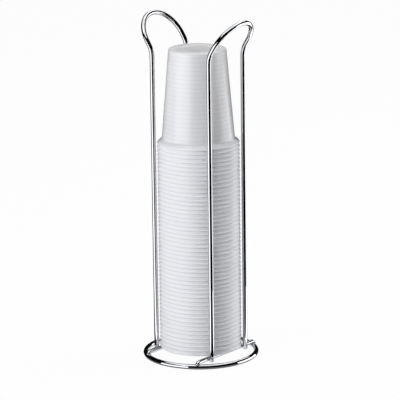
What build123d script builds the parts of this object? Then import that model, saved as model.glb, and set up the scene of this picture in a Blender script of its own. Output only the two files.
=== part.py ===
from build123d import *
import math
import os

# Countertop dispenser for disposable cups: a wire stand that holds a column of nested cups,
# mouths down. Origin on the table at the centre of the base ring, +Z up. The two cross bars
# run along Y and the two hoops stand on the -X (left) and +X (right) sides.

# Base ring, bent from round wire
ring_wire = 4.5
ring_outer_diameter = 100.0
ring_turn_per_span = 14.0

# Cross bars, laid over the ring with their ends turned down on it
bar_wire = 4.0
bar_spacing = 53.6
bar_end_bend_radius = 3.0
bar_end_turn = 60.0
bar_turn_per_span = 30.0
# The wires sink into each other by this much where they are welded
weld_depth = 0.65

# Hoops, upright posts that lean out at the top and join in a round arch
hoop_wire = 4.0
hoop_post_spacing = 47.6
hoop_foot_below_bar = 0.9
hoop_straight_height = 259.4
hoop_bend_radius = 20.0
hoop_lean = 33.0
hoop_shoulder = 3.0
wire_turn_per_span = 20.0

# Cups, nested mouth down: an upright lip at the mouth, a flare above it, then a thin tapered wall
cup_count = 50
cup_rim_diameter = 70.4
cup_lip_height = 1.2
cup_flare_diameter = 62.4
cup_flare_height = 5.5
cup_base_diameter = 49.2
cup_height = 81.5
cup_wall = 0.2
cup_base_recess_diameter = 41.0
cup_base_recess_depth = 0.9
cup_seat_gap = 0.02
# Between a cup and the one below it: from wall to wall, from flare to mouth, and from lip to lip
cup_nest_clearance = 0.119
cup_mouth_clearance = 0.2
cup_lip_gap = 0.9

# The nested cups have few flat sides to stay light; the top cup, seen whole, has twice as many
nested_cup_sides = 12
top_cup_sides = 2 * nested_cup_sides

# Places that follow from the sizes above
ring_radius = (ring_outer_diameter - ring_wire) / 2
ring_level = ring_wire / 2
bar_offset = bar_spacing / 2
bar_level = ring_wire + bar_wire / 2 - weld_depth
post_offset = bar_offset + (bar_wire + hoop_wire) / 2 - weld_depth
post_half_spacing = hoop_post_spacing / 2
foot_level = bar_level - bar_wire / 2 - hoop_foot_below_bar
bend_level = foot_level + hoop_straight_height
cups_level = bar_level + bar_wire / 2 + cup_seat_gap
rim_radius = cup_rim_diameter / 2
flare_radius = cup_flare_diameter / 2
base_radius = cup_base_diameter / 2
cup_wall_height = cup_height - cup_flare_height
wall_slope = (flare_radius - base_radius) / cup_wall_height
flare_slope = (rim_radius - flare_radius) / (cup_flare_height - cup_lip_height)
# A cup slides down over the one below until their walls or their lips come that close
cup_pitch = max((cup_wall + cup_nest_clearance) / wall_slope, cup_lip_height + cup_lip_gap)
mouth_radius = rim_radius - cup_lip_gap * flare_slope + cup_mouth_clearance


def round_wire(edges, diameter, first_side, turn_per_span):
    """Round wire along lines and arcs; an arc is drawn as straight spans."""
    side = Vector(*first_side)
    sections = []
    for edge in edges:
        turn = (edge % 0).get_angle(edge % 1)
        if edge.geom_type == GeomType.CIRCLE:
            turn = math.degrees(edge.length / edge.radius)
        spans = max(1, math.ceil(turn / turn_per_span))
        first_step = 0 if not sections else 1
        for step in range(first_step, spans + 1):
            share = step / spans
            along = edge % share
            side = (side - along * side.dot(along)).normalized()
            station = Plane(origin=edge @ share, x_dir=side, z_dir=along)
            sections.append((station * Circle(diameter / 2)).face())
    return loft(sections, ruled=True)


def reversed_arc(arc):
    """The same arc, run from its end to its start."""
    return Edge.make_three_point_arc(arc @ 1, arc @ 0.5, arc @ 0)


def base_ring():
    """Closed ring that stands on the table, made of two half turns."""
    half = CenterArc((0, 0, ring_level), ring_radius, 0, 180)
    back = round_wire([half], ring_wire, (0, 0, 1), ring_turn_per_span)
    return back + mirror(back, about=Plane.XZ)


def cross_bar(side):
    """Bar parallel to Y; both ends turn down into their welds on the ring."""
    turn = math.radians(bar_end_turn)
    reach = bar_end_bend_radius * math.sin(turn)
    drop = bar_end_bend_radius * (1 - math.cos(turn))
    x = side * bar_offset
    tip = math.sqrt(ring_radius ** 2 - bar_offset ** 2)
    corner = tip - reach
    tip_level = bar_level - drop
    straight = Line((x, -corner, bar_level), (x, corner, bar_level))
    far_end = TangentArc((x, corner, bar_level), (x, tip, tip_level), tangent=(0, 1, 0))
    near_end = reversed_arc(mirror(far_end, about=Plane.XZ))
    return round_wire([near_end, straight, far_end], bar_wire, (1, 0, 0), bar_turn_per_span)


def hoop(side):
    """One length of wire: post, outward bend, arch, bend and post down again."""
    lean = math.radians(hoop_lean)
    bend_x = post_offset + hoop_bend_radius * (1 - math.cos(lean))
    bend_z = bend_level + hoop_bend_radius * math.sin(lean)
    arch_x = bend_x + hoop_shoulder * math.sin(lean)
    arch_z = bend_z + hoop_shoulder * math.cos(lean)
    top_x = arch_x + post_half_spacing * math.sin(lean)
    top_z = arch_z + post_half_spacing * math.cos(lean)
    y = post_half_spacing
    post_x = side * post_offset
    near_post = Line((post_x, -y, foot_level), (post_x, -y, bend_level))
    near_bend = TangentArc((post_x, -y, bend_level), (side * bend_x, -y, bend_z), tangent=(0, 0, 1))
    near_shoulder = Line(near_bend @ 1, (side * arch_x, -y, arch_z))
    arch = ThreePointArc((side * arch_x, -y, arch_z), (side * top_x, 0, top_z), (side * arch_x, y, arch_z))
    far_shoulder = Line(arch @ 1, (side * bend_x, y, bend_z))
    far_bend = reversed_arc(mirror(near_bend, about=Plane.XZ))
    far_post = Line((post_x, y, bend_level), (post_x, y, foot_level))
    edges = [near_post, near_bend, near_shoulder, arch, far_shoulder, far_bend, far_post]
    return round_wire(edges, hoop_wire, (1, 0, 0), wire_turn_per_span)


def tapered_round(bottom_radius, top_radius, height, sides):
    """Upright taper with flat sides, its corners on the two given radii."""
    flat_share = math.cos(math.pi / sides)
    taper = math.degrees(math.atan((bottom_radius - top_radius) * flat_share / height))
    return extrude(RegularPolygon(bottom_radius, sides), height, taper=taper)


def cup(sides, recess_depth):
    """Cup with its mouth down on the origin; its base may be recessed."""
    hollow_height = cup_wall_height - cup_wall - recess_depth
    inner_flare_radius = flare_radius - cup_wall
    inner_base_radius = inner_flare_radius - wall_slope * hollow_height
    lip = extrude(RegularPolygon(rim_radius, sides), cup_lip_height)
    flare = tapered_round(rim_radius, flare_radius, cup_flare_height - cup_lip_height, sides)
    wall = tapered_round(flare_radius, base_radius, cup_wall_height, sides)
    mouth = tapered_round(mouth_radius, inner_flare_radius, cup_flare_height, sides)
    hollow = tapered_round(inner_flare_radius, inner_base_radius, hollow_height, sides)
    on_lip = Pos(0, 0, cup_lip_height)
    on_flare = Pos(0, 0, cup_flare_height)
    shell = lip + on_lip * flare + on_flare * wall - mouth - on_flare * hollow
    if recess_depth:
        recess = extrude(RegularPolygon(cup_base_recess_diameter / 2, sides), recess_depth)
        shell -= Pos(0, 0, cup_height - recess_depth) * recess
    return shell


nodes = {
    "base_ring": base_ring(),
    "cross_bar_left": cross_bar(-1),
    "cross_bar_right": cross_bar(1),
    "hoop_left": hoop(-1),
    "hoop_right": hoop(1),
}
nested_cup = cup(nested_cup_sides, 0)
top_cup = cup(top_cup_sides, cup_base_recess_depth)
for number in range(1, cup_count + 1):
    shape = top_cup if number == cup_count else nested_cup
    nodes[f"cup_{number:02d}"] = Pos(0, 0, cups_level + (number - 1) * cup_pitch) * shape

os.makedirs("parts", exist_ok=True)
for name, solid in nodes.items():
    export_step(solid, f"parts/{name}.step")
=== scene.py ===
import bmesh
import bpy
import math
from mathutils import Matrix, Vector


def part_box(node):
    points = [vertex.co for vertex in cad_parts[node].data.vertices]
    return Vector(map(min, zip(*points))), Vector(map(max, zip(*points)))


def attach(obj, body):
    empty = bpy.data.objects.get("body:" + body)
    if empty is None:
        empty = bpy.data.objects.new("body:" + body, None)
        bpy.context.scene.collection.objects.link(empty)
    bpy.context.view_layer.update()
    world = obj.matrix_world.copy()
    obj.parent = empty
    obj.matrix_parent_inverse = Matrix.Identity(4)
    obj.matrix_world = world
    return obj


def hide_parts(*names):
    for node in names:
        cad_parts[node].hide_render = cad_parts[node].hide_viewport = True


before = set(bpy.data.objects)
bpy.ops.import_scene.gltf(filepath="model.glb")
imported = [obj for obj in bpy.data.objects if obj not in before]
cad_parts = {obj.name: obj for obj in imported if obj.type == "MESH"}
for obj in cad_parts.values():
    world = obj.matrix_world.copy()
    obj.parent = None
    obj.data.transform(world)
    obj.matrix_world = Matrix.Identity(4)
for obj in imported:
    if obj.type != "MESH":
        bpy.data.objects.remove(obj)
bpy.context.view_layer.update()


# Base ring: the foot of the stand, round steel wire bent into a closed ring and butt welded,
# then ground flush and chromed with the rest of the stand. It lies on the table and carries the
# ends of both cross bars.
mm = 0.001
ring_low, ring_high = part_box("base_ring")
ring_wire_radius = (ring_high.z - ring_low.z) / 2
ring_radius = ring_high.x - ring_wire_radius
ring_wire_sides = 32
ring_spans = 180
merge_distance = 0.001 * mm


def colour(hex_code):
    """The linear colour of an sRGB hex code, worked out with the sRGB curve."""
    shares = [int(hex_code[place:place + 2], 16) / 255 for place in (0, 2, 4)]
    linear = [share / 12.92 if share <= 0.04045 else ((share + 0.055) / 1.055) ** 2.4
              for share in shares]
    return linear + [1]


def add_node(tree, kind, links=(), **settings):
    """A node with its settings; each link is a socket's name or number with a value or an output.
    A colour mix has its share at socket 0 and its two colours at 6 and 7, and gives output 2."""
    node = tree.nodes.new(kind)
    for name, value in settings.items():
        setattr(node, name, value)
    for socket, value in dict(links).items():
        if isinstance(value, bpy.types.NodeSocket):
            tree.links.new(value, node.inputs[socket])
        else:
            node.inputs[socket].default_value = value
    return node


def new_finish(name):
    """An empty material, and the tree that its nodes go in."""
    finish = bpy.data.materials.new(name)
    finish.use_nodes = True
    finish.node_tree.nodes.clear()
    return finish, finish.node_tree


def finished_piece(name, mesh_work, finish, body, material_slot, *stands_for):
    """Turns the mesh work into a smooth piece that rides on its body and stands for its CAD nodes."""
    mesh = bpy.data.meshes.new(name)
    mesh_work.to_mesh(mesh)
    mesh_work.free()
    mesh.shade_smooth()
    mesh.materials.append(finish)
    piece = bpy.data.objects.new(name, mesh)
    bpy.context.scene.collection.objects.link(piece)
    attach(piece, body)
    if stands_for:
        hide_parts(*stands_for)


# Bright chrome over polished steel wire: an almost clean mirror. The wire was drawn and polished
# before plating, so its reflections waver a little along the length, and fine wiping marks and
# dust dull it in spots of less than a millimetre.
waver_length = 9 * mm
waver_depth = 0.25 * mm
wiping_mark = 0.8 * mm
chrome, tree = new_finish("bright_chrome")
place = add_node(tree, "ShaderNodeTexCoord").outputs["Object"]
waver = add_node(tree, "ShaderNodeTexNoise", {
    "Vector": place, "Scale": 1 / waver_length, "Detail": 1.0})
wiping = add_node(tree, "ShaderNodeTexNoise", {
    "Vector": place, "Scale": 1 / wiping_mark, "Detail": 3.0})
dulling = add_node(tree, "ShaderNodeMapRange", {
    "Value": wiping.outputs[0], "From Min": 0.35, "From Max": 0.75, "To Min": 0.02, "To Max": 0.06})
tint = add_node(tree, "ShaderNodeMix", {
    0: waver.outputs[0], 6: colour("C6C8CC"), 7: colour("CDCED1")}, data_type="RGBA")
relief = add_node(tree, "ShaderNodeBump", {
    "Height": waver.outputs[0], "Strength": 0.06, "Distance": waver_depth})
surface = add_node(tree, "ShaderNodeBsdfPrincipled", {
    "Base Color": tint.outputs[2], "Metallic": 1.0, "Roughness": dulling.outputs[0],
    "Normal": relief.outputs[0]})
add_node(tree, "ShaderNodeOutputMaterial", {"Surface": surface.outputs[0]})

work = bmesh.new()
section = bmesh.ops.create_circle(
    work, segments=ring_wire_sides, radius=ring_wire_radius)["verts"]
bmesh.ops.rotate(work, verts=section, matrix=Matrix.Rotation(math.pi / 2, 3, "X"))
bmesh.ops.translate(work, verts=section, vec=(ring_radius, 0, ring_wire_radius))
bmesh.ops.spin(work, geom=work.verts[:] + work.edges[:], axis=(0, 0, 1), cent=(0, 0, 0),
               angle=2 * math.pi, steps=ring_spans, use_merge=True)
bmesh.ops.remove_doubles(work, verts=work.verts[:], dist=merge_distance)
bmesh.ops.recalc_face_normals(work, faces=work.faces[:])
finished_piece("ring_wire", work, chrome, "stand", "chrome_wire", "base_ring")


# Cross bars: two straight lengths of thinner wire, laid over the ring with each end turned down
# on it and welded. The column of cups stands on them.
bar_low, bar_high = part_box("cross_bar_right")
bar_radius = (bar_high.x - bar_low.x) / 2
bar_offset = (bar_high.x + bar_low.x) / 2
bar_level = bar_high.z - bar_radius
bar_tip = math.sqrt(ring_radius ** 2 - bar_offset ** 2)
bar_end_bend = 3.0 * mm
bar_end_turn = math.radians(60)
bar_end_dome = bar_radius * 0.6
bar_straight = bar_tip - bar_end_bend * math.sin(bar_end_turn)
bar_spans = 6
bar_end_spans = 8
wire_sides = 28
dome_rings = 6


def wire_start(radius, centre, tilt):
    """A round section to draw a wire from, facing up before it is tilted about X."""
    started = bmesh.new()
    rim = bmesh.ops.create_circle(started, segments=wire_sides, radius=radius)["verts"]
    bmesh.ops.rotate(started, verts=rim, matrix=Matrix.Rotation(tilt, 3, "X"))
    bmesh.ops.translate(started, verts=rim, vec=centre)
    return started, started.edges[:]


def draw_straight(wire, edges, vector, spans):
    """Draws the wire straight on by the vector and gives its new end."""
    for _ in range(spans):
        drawn = bmesh.ops.extrude_edge_only(wire, edges=edges)["geom"]
        corners = [part for part in drawn if isinstance(part, bmesh.types.BMVert)]
        bmesh.ops.translate(wire, verts=corners, vec=Vector(vector) / spans)
        edges = [part for part in drawn if isinstance(part, bmesh.types.BMEdge)
                 and part.verts[0] in corners and part.verts[1] in corners]
    return edges


def draw_bend(wire, edges, centre, axis, turn, spans):
    """Bends the wire round the axis and gives its new end."""
    corners = list({corner for edge in edges for corner in edge.verts})
    bent = bmesh.ops.spin(wire, geom=corners + edges, cent=centre, axis=axis, angle=turn,
                          steps=spans, use_merge=False)["geom_last"]
    return [part for part in bent if isinstance(part, bmesh.types.BMEdge)]


def close_end(wire, edges, outwards, depth):
    """Closes the wire's end with a dome of that depth."""
    middle = sum((edge.verts[0].co for edge in edges), Vector()) / len(edges)
    outwards = Vector(outwards).normalized()
    ring_turn = math.pi / 2 / dome_rings
    for ring in range(1, dome_rings):
        turn = ring_turn * ring
        narrowing = math.cos(turn) / math.cos(turn - ring_turn)
        rise = depth * (math.sin(turn) - math.sin(turn - ring_turn))
        edges = draw_straight(wire, edges, outwards * rise, 1)
        middle += outwards * rise
        corners = list({corner for edge in edges for corner in edge.verts})
        bmesh.ops.scale(wire, verts=corners, vec=(narrowing,) * 3,
                        space=Matrix.Translation(-middle))
    last = bmesh.ops.contextual_create(wire, geom=edges)["faces"]
    bmesh.ops.poke(wire, faces=last, offset=0)


for side, side_name in ((-1, "left"), (1, "right")):
    work, start = wire_start(bar_radius, (side * bar_offset, 0, bar_level), -math.pi / 2)
    for way in (-1, 1):
        end = draw_straight(work, start, (0, way * bar_straight, 0), bar_spans)
        end = draw_bend(work, end, (0, way * bar_straight, bar_level - bar_end_bend), (-1, 0, 0),
                        way * bar_end_turn, bar_end_spans)
        close_end(work, end, (0, way * math.cos(bar_end_turn), -math.sin(bar_end_turn)),
                  bar_end_dome)
    bmesh.ops.remove_doubles(work, verts=work.verts[:], dist=merge_distance)
    bmesh.ops.recalc_face_normals(work, faces=work.faces[:])
    finished_piece(f"bar_wire_{side_name}", work, chrome, "stand", "chrome_wire",
                   f"cross_bar_{side_name}")


# Hoops: one length of wire each, bent into two posts, an outward lean above the cups and a round
# arch. The feet of the posts are cut square, rubbed round and welded to the sides of the bars.
hoop_low, hoop_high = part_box("hoop_right")
hoop_wire_radius = 2.0 * mm
post_offset = hoop_low.x + hoop_wire_radius
post_half_spacing = hoop_high.y - hoop_wire_radius
hoop_bend = 20.0 * mm
hoop_lean = math.radians(33)
hoop_shoulder = 3.0 * mm
foot_rounding = 0.9 * mm
post_spans = 24
hoop_bend_spans = 14
shoulder_spans = 2
arch_spans = 56

lean_way = Vector((math.sin(hoop_lean), 0, math.cos(hoop_lean)))
arch_axis = lean_way.cross((0, 1, 0))
arch_centre = Vector((0, 0, hoop_high.z)) - lean_way * post_half_spacing
arch_centre.z -= hoop_wire_radius
arch_centre.x = post_offset + hoop_bend * (1 - math.cos(hoop_lean)) + hoop_shoulder * lean_way.x
bend_level = arch_centre.z - hoop_shoulder * lean_way.z - hoop_bend * math.sin(hoop_lean)
bend_centre = (post_offset + hoop_bend, 0, bend_level)
foot = Vector((post_offset, -post_half_spacing, hoop_low.z + foot_rounding))
post = Vector((0, 0, bend_level - foot.z))
# Both are drawn on the right, from the near foot over the arch to the far foot, and the left one
# is then turned half way round.
for side_name in ("left", "right"):
    work, start = wire_start(hoop_wire_radius, foot, 0)
    end = draw_straight(work, start, post, post_spans)
    end = draw_bend(work, end, bend_centre, (0, 1, 0), hoop_lean, hoop_bend_spans)
    end = draw_straight(work, end, lean_way * hoop_shoulder, shoulder_spans)
    end = draw_bend(work, end, arch_centre, arch_axis, math.pi, arch_spans)
    end = draw_straight(work, end, -lean_way * hoop_shoulder, shoulder_spans)
    end = draw_bend(work, end, bend_centre, (0, 1, 0), -hoop_lean, hoop_bend_spans)
    end = draw_straight(work, end, -post, post_spans)
    close_end(work, start, (0, 0, -1), foot_rounding)
    close_end(work, end, (0, 0, -1), foot_rounding)
    if side_name == "left":
        bmesh.ops.rotate(work, verts=work.verts[:], matrix=Matrix.Rotation(math.pi, 3, "Z"))
    bmesh.ops.remove_doubles(work, verts=work.verts[:], dist=merge_distance)
    bmesh.ops.recalc_face_normals(work, faces=work.faces[:])
    finished_piece(f"hoop_wire_{side_name}", work, chrome, "stand", "chrome_wire",
                   f"hoop_{side_name}")


# Weld beads: the fillets of melted steel that join the bar ends to the ring and the feet of the
# posts to the bars. They were plated with the wire and are a little rougher than it.
bar_bead = (2.5 * mm, 2.3 * mm, 0.75 * mm)
bar_bead_sink = 0.15 * mm
post_bead = (0.95 * mm, 2.1 * mm, 1.9 * mm)
post_bead_drop = 0.3 * mm

# Chromed weld bead: the puddle froze in soft ripples, so the plating over it is uneven, duller
# and greyer than on the polished wire.
ripple_length = 0.9 * mm
ripple_depth = 0.12 * mm
weld_steel, tree = new_finish("chromed_weld_bead")
place = add_node(tree, "ShaderNodeTexCoord").outputs["Object"]
puddle = add_node(tree, "ShaderNodeTexNoise", {
    "Vector": place, "Scale": 1 / ripple_length, "Detail": 2.0})
dulling = add_node(tree, "ShaderNodeMapRange", {
    "Value": puddle.outputs[0], "To Min": 0.1, "To Max": 0.28})
relief = add_node(tree, "ShaderNodeBump", {
    "Height": puddle.outputs[0], "Strength": 0.5, "Distance": ripple_depth})
tint = add_node(tree, "ShaderNodeMix", {
    0: puddle.outputs[0], 6: colour("A6A9B2"), 7: colour("C2C4CA")}, data_type="RGBA")
surface = add_node(tree, "ShaderNodeBsdfPrincipled", {
    "Base Color": tint.outputs[2], "Metallic": 1.0, "Roughness": dulling.outputs[0],
    "Normal": relief.outputs[0]})
add_node(tree, "ShaderNodeOutputMaterial", {"Surface": surface.outputs[0]})

for name, half_sizes, offset, reach, level in (
        ("welds_bar_to_ring", bar_bead, bar_offset, bar_tip, 2 * ring_wire_radius - bar_bead_sink),
        ("welds_post_to_bar", post_bead, (post_offset + bar_offset) / 2, post_half_spacing,
         bar_level - post_bead_drop)):
    work = bmesh.new()
    for side in (-1, 1):
        for way in (-1, 1):
            bead = bmesh.ops.create_icosphere(work, subdivisions=4, radius=1)["verts"]
            bmesh.ops.scale(work, verts=bead, vec=half_sizes)
            bmesh.ops.translate(work, verts=bead, vec=(side * offset, way * reach, level))
    finished_piece(name, work, weld_steel, "stand", "chrome_wire")


# Cups: thin disposable cups, vacuum formed from white polypropylene sheet and nested mouth down.
# Each has a small rolled lip at its mouth, a short flare, a tapered wall with the faint ribs that
# the cups nested inside it leave, and a stiffened base.
cup_count = 50
# The top three cups lift off one by one, so they and the cup below them are seen whole.
first_loose_cup = 48
first_whole_cup = 47
cup_low, cup_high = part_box("cup_50")
next_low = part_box("cup_49")[0]
rim_radius = (cup_high.x - cup_low.x) / 2
cup_height = cup_high.z - cup_low.z
nesting_step = cup_low.z - next_low.z
cup_wall = 0.2 * mm
mouth_radius = 34.5 * mm
flare_height = 4.4 * mm
flare_radius = 31.2 * mm
base_radius = 24.6 * mm
base_rounding = 1.3 * mm
base_corner_spread = 0.1 * mm
base_corner_spans = 6
base_ring_radius = 14.5 * mm
recess_radius = 11.5 * mm
recess_depth = 0.45 * mm
plain_wall = 3 * mm
rib_drop = 1.1 * mm
whole_cup_sides = 128
nested_cup_sides = 96

# Formed polypropylene: white, a little cloudy and soft to the light, with a moulded half gloss.
# The sheet stretched when it was formed, so faint streaks run up the wall. The cups inside show
# through it, and their rims are painted as fine darker bands one nesting step apart: painted shade.
# Painted shade also greys the rims and flares, where they shade each other, and the thin middle of
# the base, where the dark inside shows through, while painted light makes the rest of the base
# whiter.
first_band_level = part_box("cup_01")[0].z + 0.15 * mm
streak_width = 5 * mm
streak_squash = 0.12
rims_end_level = cup_low.z + 2 * mm
base_tone_depth = 0.8 * mm
middle_shade_radius = 11 * mm
middle_shade_edge = 13.5 * mm
flare_middle_radius = 32.35 * mm
flare_half_width = 1.05 * mm
top_flare_level = cup_low.z + 2.9 * mm
top_flare_half_height = 1.65 * mm
grain_size = 1.1 * mm
grain_depth = 0.05 * mm
light_spread = 2.5 * mm
polypropylene, tree = new_finish("formed_white_polypropylene")
place = add_node(tree, "ShaderNodeTexCoord").outputs["Object"]
height = add_node(tree, "ShaderNodeSeparateXYZ", {0: place}).outputs["Z"]
steps_up = add_node(tree, "ShaderNodeMath", {
    0: height, 1: 1 / nesting_step, 2: -first_band_level / nesting_step},
    operation="MULTIPLY_ADD")
from_band = add_node(tree, "ShaderNodeMath", {0: steps_up.outputs[0], 1: 0.5}, operation="PINGPONG")
between_bands = add_node(tree, "ShaderNodeMapRange", {
    "Value": from_band.outputs[0], "From Min": 0.08, "From Max": 0.24, "To Min": 0.0, "To Max": 1.0},
    interpolation_type="SMOOTHSTEP")
stretched = add_node(tree, "ShaderNodeMapping", {"Vector": place, "Scale": (1, 1, streak_squash)})
streaks = add_node(tree, "ShaderNodeTexNoise", {
    "Vector": stretched.outputs[0], "Scale": 1 / streak_width, "Detail": 2.0})
cloud = add_node(tree, "ShaderNodeMix", {
    0: streaks.outputs[0], 6: colour("E0E1E5"), 7: colour("E6E7EA")}, data_type="RGBA")
# Painted shade: faint darker lines one nesting step apart, where the rims of the cups inside show
# through the wall, laid over the streaked cloud.
cloud_and_band_shade = add_node(tree, "ShaderNodeMix", {
    0: between_bands.outputs[0], 6: colour("DEDFE3"), 7: cloud.outputs[2]}, data_type="RGBA")
# Painted shade among the nested rims: greyer there, and darkest on the lips, where they shade each
# other.
rim_shade_tones = add_node(tree, "ShaderNodeMix", {
    0: between_bands.outputs[0], 6: colour("D6D7DC"), 7: colour("E2E3E7")}, data_type="RGBA")
among_rims = add_node(tree, "ShaderNodeMapRange", {
    "Value": height, "From Min": cup_low.z, "From Max": rims_end_level, "To Min": 1.0, "To Max": 0.0})
rim_shaded = add_node(tree, "ShaderNodeMix", {
    0: among_rims.outputs[0], 6: cloud_and_band_shade.outputs[2], 7: rim_shade_tones.outputs[2]}, data_type="RGBA")
flattened = add_node(tree, "ShaderNodeMapping", {"Vector": place, "Scale": (1, 1, 0)})
from_axis = add_node(tree, "ShaderNodeVectorMath", {0: flattened.outputs[0]}, operation="LENGTH")
# Painted light: the top of the base is painted whiter, as the light that comes through it.
on_base = add_node(tree, "ShaderNodeMath", {
    0: height, 1: cup_high.z, 2: base_tone_depth}, operation="COMPARE")
painted_base_light = add_node(tree, "ShaderNodeMix", {
    0: on_base.outputs[0], 6: rim_shaded.outputs[2], 7: colour("F3F3F5")}, data_type="RGBA")
# Painted shade: the thin middle of the base is painted darker, as the dark inside showing through it.
middle_shade = add_node(tree, "ShaderNodeMapRange", {
    "Value": from_axis.outputs["Value"], "From Min": middle_shade_radius,
    "From Max": middle_shade_edge, "To Min": 0.8, "To Max": 0.0},
    interpolation_type="SMOOTHSTEP")
middle_shaded = add_node(tree, "ShaderNodeMix", {
    0: middle_shade.outputs[0], 6: painted_base_light.outputs[2], 7: colour("D8DADE")}, data_type="RGBA")
# Painted shade: the flares, down in the notches between the rims, are painted greyer.
on_flare = add_node(tree, "ShaderNodeMath", {
    0: from_axis.outputs["Value"], 1: flare_middle_radius, 2: flare_half_width},
    operation="COMPARE")
flare_shaded = add_node(tree, "ShaderNodeMix", {
    0: on_flare.outputs[0], 6: middle_shaded.outputs[2], 7: colour("D0D1D6")}, data_type="RGBA")
# Painted shade: the top cup's flare is painted greyer as well.
on_top_flare = add_node(tree, "ShaderNodeMath", {
    0: height, 1: top_flare_level, 2: top_flare_half_height}, operation="COMPARE")
shaded = add_node(tree, "ShaderNodeMix", {
    0: on_top_flare.outputs[0], 6: flare_shaded.outputs[2], 7: colour("DADBE0")}, data_type="RGBA")
grain = add_node(tree, "ShaderNodeTexNoise", {
    "Vector": place, "Scale": 1 / grain_size, "Detail": 2.0})
gloss = add_node(tree, "ShaderNodeMapRange", {
    "Value": grain.outputs[0], "To Min": 0.13, "To Max": 0.2})
relief = add_node(tree, "ShaderNodeBump", {
    "Height": grain.outputs[0], "Strength": 0.12, "Distance": grain_depth})
surface = add_node(tree, "ShaderNodeBsdfPrincipled", {
    "Base Color": shaded.outputs[2], "Roughness": gloss.outputs[0], "IOR": 1.49,
    "Subsurface Weight": 0.3, "Subsurface Radius": (1.0, 1.0, 1.0),
    "Subsurface Scale": light_spread, "Normal": relief.outputs[0]})
add_node(tree, "ShaderNodeOutputMaterial", {"Surface": surface.outputs[0]})


def outline_from(radius, rise, steps):
    """Points of a cup's outline, at steps in millimetres outwards and up from a radius and rise."""
    return [(radius + outwards * mm, rise + upwards * mm) for outwards, upwards in steps]


# A cup's outline starts at the mouth, where the sheet is rolled outwards into the lip.
lip = [(mouth_radius, 0.0)] + outline_from(
    rim_radius, 0.0, ((-0.25, 0), (-0.05, 0.15), (0, 0.45), (-0.12, 0.8), (-0.4, 1.1), (-0.75, 1.6)))

# The top cup's flare ends in a clear shoulder. Those of the nested cups are drawn fuller, because
# the light that comes through real nested rims fills the notches between them.
clear_shoulder = outline_from(flare_radius, flare_height, ((0.45, -0.55), (0.1, -0.05), (-0.05, 0.7)))
full_shoulder = outline_from(rim_radius, 0.0, ((-1.0, 3.0), (-1.6, 3.9)))
full_shoulder += outline_from(flare_radius, flare_height, ((0.2, 0.8), (-0.1, 1.6)))

# The wall's faint ribs lie one nesting step apart and stop a little below the base.
wall_height = cup_height - flare_height
wall_slope = (flare_radius - base_radius) / wall_height
ribs_end = int((wall_height - plain_wall) / nesting_step)
ribs = []
for rib in range(1, ribs_end):
    rib_rise = flare_height + (rib + 1) * nesting_step - rib_drop
    rib_radius = flare_radius - wall_slope * (rib_rise - flare_height)
    ribs += outline_from(rib_radius, rib_rise, ((-0.02, -0.45), (-0.03, 0), (-0.02, 0.45)))

# The base has a rounded corner, a faint raised ring and a shallow recess. Inside, the sheet
# follows it at its own thickness and runs back down the wall.
base = []
for step in range(base_corner_spans + 1):
    out = math.cos(math.pi / 2 * step / base_corner_spans)
    over = math.sin(math.pi / 2 * step / base_corner_spans)
    base.append((base_radius - base_rounding * (1 - out) + base_corner_spread * (1 - over),
                 cup_height - base_rounding * (1 - over)))
base += outline_from(base_ring_radius, cup_height, ((0, -0.1), (-0.6, -0.18)))
base += outline_from(recess_radius, cup_height - recess_depth, ((0.8, 0.05), (0, 0)))
base.append((0.0, cup_height - recess_depth))
inner_level = cup_height - cup_wall
inside = [(0.0, inner_level - recess_depth)]
inside += outline_from(recess_radius, inner_level - recess_depth, ((0.1, 0),))
inside += outline_from(base_ring_radius, inner_level, ((0, -0.3),))
inside += [(base_radius - base_rounding - cup_wall, inner_level),
           (base_radius - cup_wall, cup_height - base_rounding),
           (flare_radius - cup_wall, flare_height)]

for number in range(1, cup_count + 1):
    name = f"cup_{number:02d}"
    mouth_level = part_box(name)[0].z
    shown_whole = number >= first_whole_cup
    shoulder = clear_shoulder if number == cup_count else full_shoulder
    outline = lip + shoulder + (ribs if shown_whole else []) + base + inside
    work = bmesh.new()
    corners = [work.verts.new((radius, 0, mouth_level + rise)) for radius, rise in outline]
    for first, second in zip(corners, corners[1:] + corners[:1]):
        on_axis = first.co.x == 0 and second.co.x == 0
        if not on_axis:
            work.edges.new((first, second))
    bmesh.ops.spin(work, geom=work.verts[:] + work.edges[:], axis=(0, 0, 1), cent=(0, 0, 0),
                   angle=2 * math.pi, steps=whole_cup_sides if shown_whole else nested_cup_sides,
                   use_merge=True)
    bmesh.ops.remove_doubles(work, verts=work.verts[:], dist=merge_distance)
    bmesh.ops.recalc_face_normals(work, faces=work.faces[:])
    body = name if number >= first_loose_cup else "cup_stack"
    finished_piece(f"formed_{name}", work, polypropylene, body, "cup_plastic", name)


# Studio: a pale floor that runs out of sight, a low softbox on the left, a higher one on the
# right, a weak one above, and cards that only reflections show. The camera stands where it stood
# for the photograph.
camera_turn = math.radians(37.84)
floor_half_size = 6
floor_white_share = 0.965
floor_paint, tree = new_finish("white_studio_floor")
ray = add_node(tree, "ShaderNodeLightPath")
seen = ray.outputs["Is Camera Ray"]
for kind in ("Is Glossy Ray", "Is Transmission Ray"):
    seen = add_node(tree, "ShaderNodeMath", {
        0: seen, 1: ray.outputs[kind]}, operation="MAXIMUM").outputs[0]
paint = add_node(tree, "ShaderNodeBsdfDiffuse", {"Color": colour("EDEDED")})
glow = add_node(tree, "ShaderNodeEmission", {"Color": (1, 1, 1, 1), "Strength": 1.0})
share = add_node(tree, "ShaderNodeMath", {0: seen, 1: floor_white_share}, operation="MULTIPLY")
surface = add_node(tree, "ShaderNodeMixShader", {
    0: share.outputs[0], 1: paint.outputs[0], 2: glow.outputs[0]})
add_node(tree, "ShaderNodeOutputMaterial", {"Surface": surface.outputs[0]})
work = bmesh.new()
bmesh.ops.create_grid(work, x_segments=1, y_segments=1, size=floor_half_size)
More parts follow.
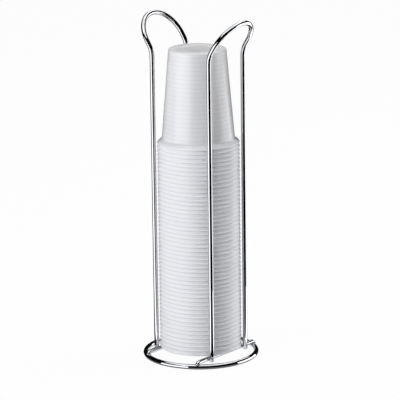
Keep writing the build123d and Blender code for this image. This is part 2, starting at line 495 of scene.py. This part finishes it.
floor_mesh = bpy.data.meshes.new("studio_floor")
work.to_mesh(floor_mesh)
work.free()
floor_mesh.materials.append(floor_paint)
floor = bpy.data.objects.new("studio_floor", floor_mesh)
bpy.context.scene.collection.objects.link(floor)

# Cards bent round the object, which only reflections show: those on the floor give the wire its
# light and dark stripes, the high ones light the arches, and a grey one tones the top cup's base.
# A dim ring right under the wire is a painted shadow: the floor's contact shadow, for the wire to
# mirror.
# Each has a strength, the angle to the right of the camera where it starts and how far it turns,
# both in degrees, and edges at a reach and a level in metres. An edge beside the ring takes half
# the angles, because the wire there mirrors the room at twice its own.
card_spans = 32
beside_ring = 0.1
on_floor = 0.2 * mm
under_ring = 48.0 * mm
past_ring = 52.5 * mm
ring_edge = (under_ring, on_floor)
far_reach = 1.6
far_edge = (far_reach, on_floor)
belt_reach = 1.7
belt_top = 2.15
for name, strength, start, turn, edges in (
        ("left_white_card", 2.0, -84, 59, (ring_edge, far_edge, (far_reach, 0.46))),
        ("front_dark_card", 0.0, -25, 101, (ring_edge, far_edge, (far_reach, 0.42))),
        ("right_white_card", 2.4, 76, 59, (ring_edge, far_edge, (far_reach, 0.5))),
        ("back_dark_card", 0.04, 135, 45, (ring_edge, far_edge, (far_reach, 0.2))),
        ("left_dark_card", 0.0, -180, 96, (ring_edge, far_edge, (far_reach, 0.2))),
        # Painted shadow: a dim ring under the wire that stands for the floor's contact shadow in its
        # reflection.
        ("ring_shadow_card", 0.25, -360, 720, ((under_ring, 2 * on_floor), (past_ring, 2 * on_floor))),
        ("near_dark_card", 0.0, 60, 28, ((0.25, 3 * on_floor), (1.5, 3 * on_floor))),
        ("dark_belt", 0.004, 0, 360, ((belt_reach, on_floor), (belt_reach, belt_top))),
        ("base_grey_card", 0.62, 164, 32, ((0.35, 0.3), (0.35, 0.41))),
        ("left_high_card", 2.6, -68, 28, ((1.3, 1.4), (0.35, 1.95))),
        ("back_high_card", 2.6, 148, 30, ((1.6, 1.1), (0.4, 1.95))),
        ("ceiling_card", 1.4, 0, 360, ((1.75, belt_top), (0.2, 2.5)))):
    paint, tree = new_finish(name)
    glow = add_node(tree, "ShaderNodeEmission", {"Color": (1, 1, 1, 1), "Strength": strength})
    add_node(tree, "ShaderNodeOutputMaterial", {"Surface": glow.outputs[0]})
    work = bmesh.new()
    lower = []
    for reach, level in edges:
        angle_share = 0.5 if reach < beside_ring else 1.0
        facing = camera_turn + math.radians(start * angle_share) - math.pi / 2
        drawn = set(work.edges)
        corner = work.verts.new((reach * math.cos(facing), reach * math.sin(facing), level))
        bmesh.ops.spin(work, geom=[corner], axis=(0, 0, 1), cent=(0, 0, 0),
                       angle=math.radians(turn * angle_share), steps=card_spans)
        upper = [edge for edge in work.edges if edge not in drawn]
        if lower:
            bmesh.ops.bridge_loops(work, edges=lower + upper)
        lower = upper
    card_mesh = bpy.data.meshes.new(name)
    work.to_mesh(card_mesh)
    work.free()
    card_mesh.materials.append(paint)
    card = bpy.data.objects.new(name, card_mesh)
    bpy.context.scene.collection.objects.link(card)
    card.visible_camera = False
    card.visible_diffuse = False
    card.visible_transmission = False
    card.visible_volume_scatter = False
    card.visible_shadow = False

# Softboxes: broad lamps that face the object. Each has its watts, its width and height, its reach
# and level in metres, and its angle to the right of the camera in degrees.
lamp_aim = Vector((0, 0, 0.15))
for name, watts, width, tallness, reach, level, bearing in (
        ("left_softbox", 13.3, 1.05, 1.15, 1.15, 0.46, -51.5),
        ("right_softbox", 15.8, 1.2, 1.0, 1.3, 1.05, 111),
        ("top_softbox", 1.6, 1.2, 1.2, 0.3, 1.6, -30)):
    lamp = bpy.data.lights.new(name, "AREA")
    lamp.shape = "RECTANGLE"
    lamp.size = width
    lamp.size_y = tallness
    lamp.energy = watts
    softbox = bpy.data.objects.new(name, lamp)
    facing = camera_turn + math.radians(bearing) - math.pi / 2
    softbox.location = (reach * math.cos(facing), reach * math.sin(facing), level)
    softbox.rotation_euler = (lamp_aim - softbox.location).to_track_quat("-Z", "Y").to_euler()
    softbox.visible_glossy = False
    bpy.context.scene.collection.objects.link(softbox)

# Air: white where the camera and reflections see it, and a dim even light on the object.
air_light = 0.3
air = bpy.data.worlds.new("studio_air")
bpy.context.scene.world = air
air.use_nodes = True
tree = air.node_tree
tree.nodes.clear()
ray = add_node(tree, "ShaderNodeLightPath")
seen = ray.outputs["Is Camera Ray"]
for kind in ("Is Glossy Ray", "Is Transmission Ray"):
    seen = add_node(tree, "ShaderNodeMath", {
        0: seen, 1: ray.outputs[kind]}, operation="MAXIMUM").outputs[0]
strength = add_node(tree, "ShaderNodeMapRange", {"Value": seen, "To Min": air_light, "To Max": 1.0})
glow = add_node(tree, "ShaderNodeBackground", {
    "Color": (1, 1, 1, 1), "Strength": strength.outputs[0]})
add_node(tree, "ShaderNodeOutputWorld", {"Surface": glow.outputs[0]})

# Camera: where it stood for the photograph, to the right of the front and a little above. Its
# turn, rise, roll, distance and lens were fitted to the outlines in the photograph.
camera_rise = math.radians(13.77)
camera_roll = math.radians(-0.72)
camera_distance = 2.333
camera_aim = Vector((0.9 * mm, 0, 137.2 * mm))
photo_width_pixels = 400
focal_length_pixels = 2721.0
sensor_width = 36
back = Vector((math.sin(camera_turn) * math.cos(camera_rise),
               -math.cos(camera_turn) * math.cos(camera_rise), math.sin(camera_rise)))
level_right = Vector((math.cos(camera_turn), math.sin(camera_turn), 0))
level_up = back.cross(level_right)
right = math.cos(camera_roll) * level_right + math.sin(camera_roll) * level_up
up = math.cos(camera_roll) * level_up - math.sin(camera_roll) * level_right
lens = bpy.data.cameras.new("photo_camera")
lens.sensor_width = sensor_width
lens.lens = focal_length_pixels / photo_width_pixels * sensor_width
lens.clip_start = 0.01
lens.clip_end = 100
camera = bpy.data.objects.new("photo_camera", lens)
bpy.context.scene.collection.objects.link(camera)
turned = Matrix((right, up, back)).transposed().to_4x4()
camera.matrix_world = Matrix.Translation(camera_aim + back * camera_distance) @ turned
bpy.context.scene.camera = camera
bpy.context.scene.view_settings.view_transform = "Standard"
